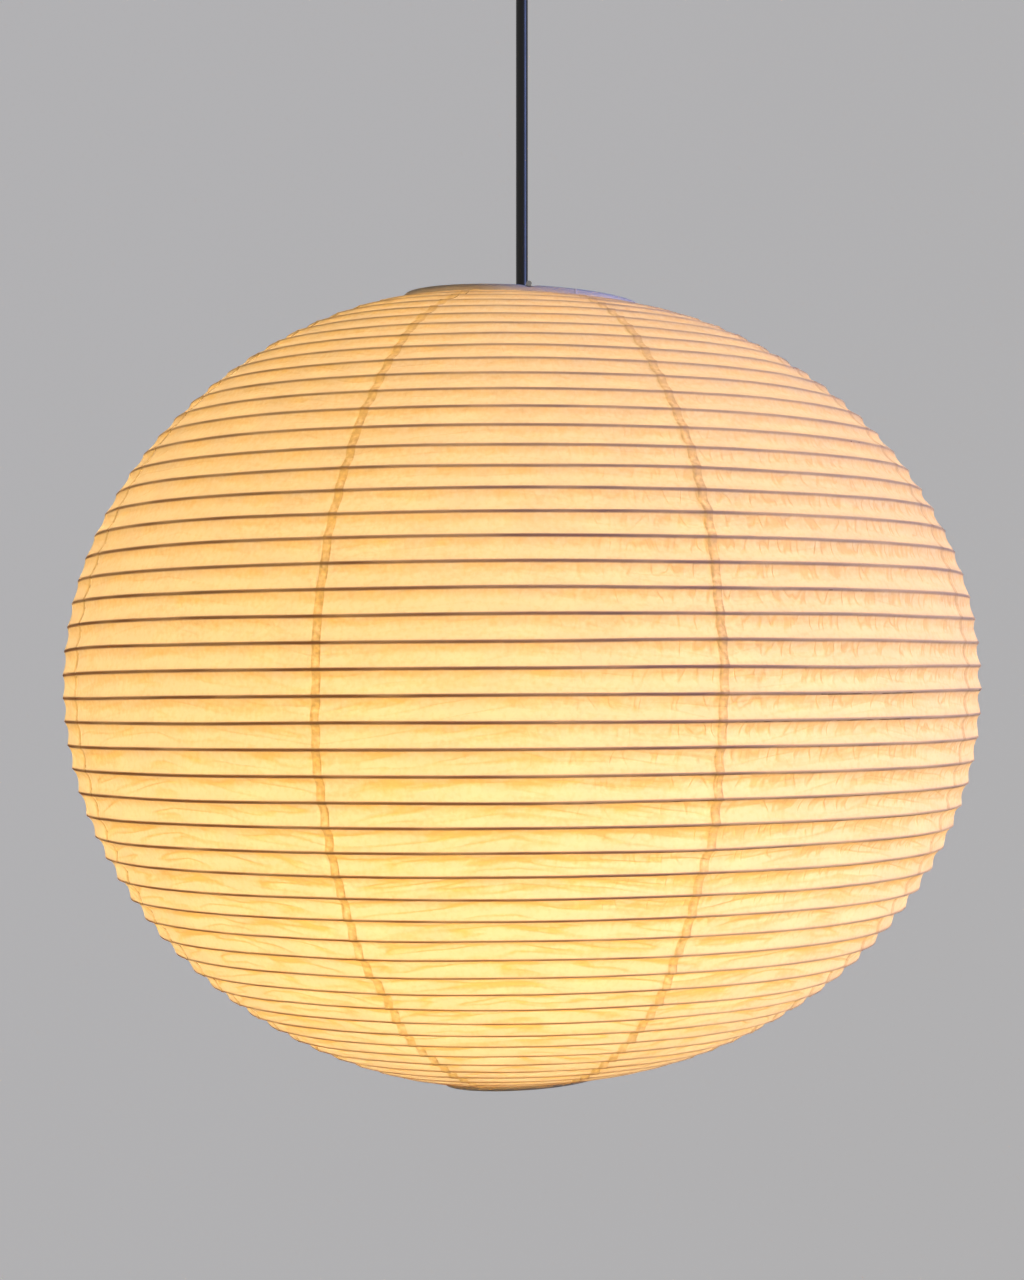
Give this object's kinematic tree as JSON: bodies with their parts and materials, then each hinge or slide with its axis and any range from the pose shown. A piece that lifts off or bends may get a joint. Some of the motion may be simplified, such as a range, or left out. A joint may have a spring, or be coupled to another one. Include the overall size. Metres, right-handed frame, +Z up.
{
  "type": "pendant paper lantern",
  "caption": "Oblate paper lantern over a bamboo spiral rib, hung by its flex from a ceiling cup, with a wire frame and a bulb inside; the shade folds up.",
  "frame": {"origin": "on the ceiling plane, midway between the two screw slots of the ceiling bracket", "axes": "+Z up, out of the ceiling fitting's face; the slots lie along X; -Y faces the viewer"},
  "size_m": [0.52, 0.52, 0.7175],
  "materials": {
    "washi": "thin handmade mulberry paper, translucent, warm ivory, sagging between the ribs",
    "trim_paper": "doubled white paper strip folded over the hoop, matte",
    "bamboo_split": "split bamboo strip, dry matte straw brown",
    "bamboo_hoop": "bent bamboo strip, satin, pale",
    "flex_sheath": "black extruded vinyl sheath, smooth, slightly glossy",
    "hanger_wire": "drawn and zinc plated steel wire, grey, satin",
    "black_nylon": "moulded black nylon, fine satin",
    "ceiling_cup_plastic": "moulded black plastic, fine spark-eroded texture",
    "zinc_steel": "pressed sheet steel, bright zinc plating",
    "zinc_screw": "zinc plated machine screw",
    "terminal_plastic": "moulded white polyamide",
    "terminal_brass": "turned brass clamp screws",
    "holder_plastic": "compression moulded black phenolic, glossy",
    "holder_brass": "pressed brass, rolled thread",
    "steatite": "fired steatite, matte off-white",
    "solder_tip": "solder bead, dull grey",
    "black_glass": "fused black glass insulator, glossy",
    "bulb_cap_nickel": "rolled and nickel plated brass cap",
    "bulb_housing_plastic": "moulded white heat-spreading plastic",
    "led_board": "white solder mask on an aluminium board, yellow chips",
    "opal_globe": "opal diffusing globe, lit warm white"
  },
  "bodies": {
    "ceiling": {"ceiling_bracket": "zinc_steel", "ceiling_cup": "ceiling_cup_plastic", "cup_screws": "zinc_screw", "cup_cord_grip": "black_nylon", "grip_nut": "black_nylon", "cord_tail": "flex_sheath", "terminal_block": "terminal_plastic", "terminal_screws": "terminal_brass"},
    "cord": {"cord_upper": "flex_sheath"},
    "lampholder": {"cord_lock": "black_nylon", "cord_lock_nut": "black_nylon", "cord_lower": "flex_sheath", "lampholder_cap": "holder_plastic", "lampholder_insert": "steatite", "lampholder_contact": "holder_brass", "thread_shell": "holder_brass", "lampholder_sleeve": "holder_plastic"},
    "shade": {"hanger_bar": "hanger_wire", "stretcher_leg_near": "hanger_wire", "stretcher_leg_far": "hanger_wire", "top_hoop": "bamboo_hoop", "top_trim_band": "trim_paper", "bamboo_rib": "bamboo_split", "paper_gore_1": "washi", "paper_gore_2": "washi", "paper_gore_3": "washi", "paper_gore_4": "washi", "paper_gore_5": "washi", "paper_gore_6": "washi", "paper_gore_7": "washi", "paper_gore_8": "washi"},
    "bottom_collar": {"bottom_hoop": "bamboo_hoop", "bottom_trim_band": "trim_paper"},
    "bulb": {"bulb_contact": "solder_tip", "bulb_insulator": "black_glass", "bulb_cap": "bulb_cap_nickel", "bulb_housing": "bulb_housing_plastic", "bulb_led_board": "led_board", "bulb_globe": "opal_globe"}
  },
  "joints": [
    {"name": "cord_swing", "type": "hinge", "parent": "ceiling", "child": "cord", "pos_m": [0, 0, -0.082], "axis": [1, 0, 0], "range_deg": [-12, 12]},
    {"name": "lamp_swing", "type": "hinge", "parent": "cord", "child": "lampholder", "pos_m": [0, 0, -0.274], "axis": [0, 1, 0], "range_deg": [-12, 12]},
    {"name": "bulb_out", "type": "slide", "parent": "lampholder", "child": "bulb", "axis": [0, 0, 1], "range_m": [-0.26, 0]},
    {"name": "shade_turn", "type": "hinge", "parent": "lampholder", "child": "shade", "pos_m": [0, 0, -0.277], "axis": [0, 0, 1], "continuous": true},
    {"name": "shade_fold", "type": "slide", "parent": "shade", "child": "bottom_collar", "axis": [0, 0, 1], "range_m": [0, 0.4], "deforming": ["paper_gore_1", "paper_gore_2", "paper_gore_3", "paper_gore_4", "paper_gore_5", "paper_gore_6", "paper_gore_7", "paper_gore_8", "bamboo_rib"]}
  ]
}
